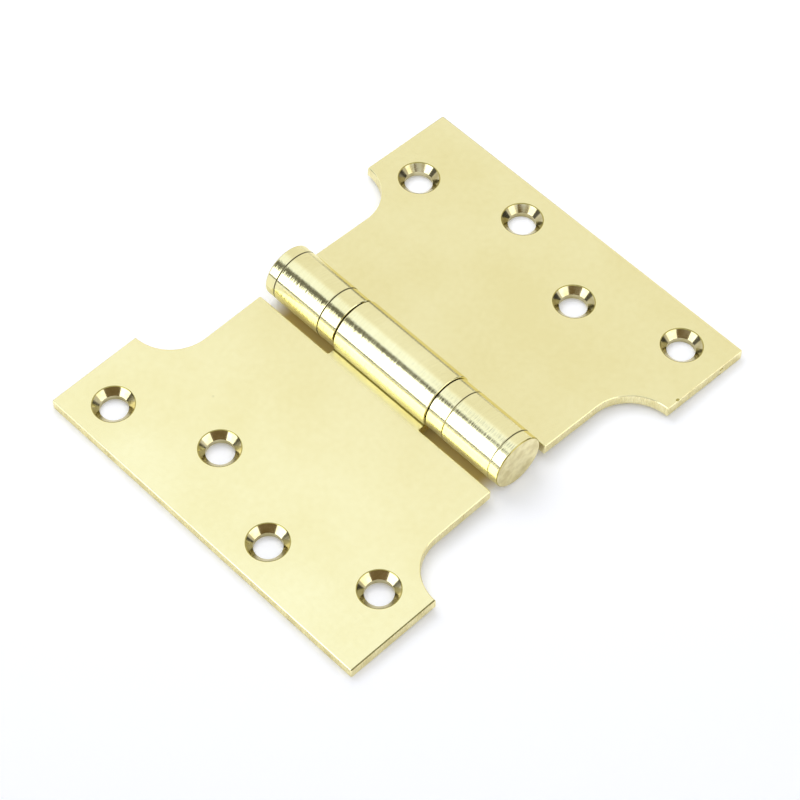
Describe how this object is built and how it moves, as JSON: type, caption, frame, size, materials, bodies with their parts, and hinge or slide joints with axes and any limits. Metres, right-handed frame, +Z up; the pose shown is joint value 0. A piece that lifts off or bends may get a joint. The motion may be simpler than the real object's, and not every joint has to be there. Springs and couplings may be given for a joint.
{
  "type": "parliament hinge",
  "caption": "Open parliament hinge: two notched H-shaped leaves with countersunk holes, joined by a barrel with ball bearing collars and flat end caps.",
  "frame": {"origin": "on the surface that the open hinge lies on, under the middle of the barrel", "axes": "+X across the leaves towards the leaf with the end knuckles, +Y along the pin, +Z up from the surface"},
  "size_m": [0.1284, 0.1018, 0.0148],
  "materials": {
    "polished_brass": "polished, lacquered",
    "turned_brass": "fine turned",
    "pin_steel": "ground",
    "bearing_steel": "hardened, polished",
    "cage_brass": "pressed"
  },
  "bodies": {
    "right_side": {"right_leaf": "polished_brass", "hinge_pin": "pin_steel", "rear_cap": "turned_brass", "rear_collar": "polished_brass", "rear_fixed_race": "bearing_steel", "front_cap": "turned_brass", "front_collar": "polished_brass", "front_fixed_race": "bearing_steel"},
    "left_side": {"left_leaf": "polished_brass", "rear_running_race": "bearing_steel", "front_running_race": "bearing_steel"},
    "rear_ball_set": {"rear_ball_cage": "cage_brass", "rear_ball_1": "bearing_steel", "rear_ball_2": "bearing_steel", "rear_ball_3": "bearing_steel", "rear_ball_4": "bearing_steel", "rear_ball_5": "bearing_steel", "rear_ball_6": "bearing_steel", "rear_ball_7": "bearing_steel", "rear_ball_8": "bearing_steel"},
    "front_ball_set": {"front_ball_cage": "cage_brass", "front_ball_1": "bearing_steel", "front_ball_2": "bearing_steel", "front_ball_3": "bearing_steel", "front_ball_4": "bearing_steel", "front_ball_5": "bearing_steel", "front_ball_6": "bearing_steel", "front_ball_7": "bearing_steel", "front_ball_8": "bearing_steel"}
  },
  "joints": [
    {"name": "leaf_swing", "type": "hinge", "parent": "right_side", "child": "left_side", "pos_m": [0, 0, 0.0074], "axis": [0, 1, 0], "range_deg": [-115, 184.3]},
    {"name": "rear_ball_orbit", "type": "hinge", "parent": "right_side", "child": "rear_ball_set", "pos_m": [0, 0, 0.0074], "axis": [0, 1, 0], "range_deg": [-57.5, 92.15]},
    {"name": "front_ball_orbit", "type": "hinge", "parent": "right_side", "child": "front_ball_set", "pos_m": [0, 0, 0.0074], "axis": [0, 1, 0], "range_deg": [-57.5, 92.15]}
  ],
  "couplings": [
    {"joint": "rear_ball_orbit", "follows": "leaf_swing", "ratio": 0.5},
    {"joint": "front_ball_orbit", "follows": "leaf_swing", "ratio": 0.5}
  ]
}
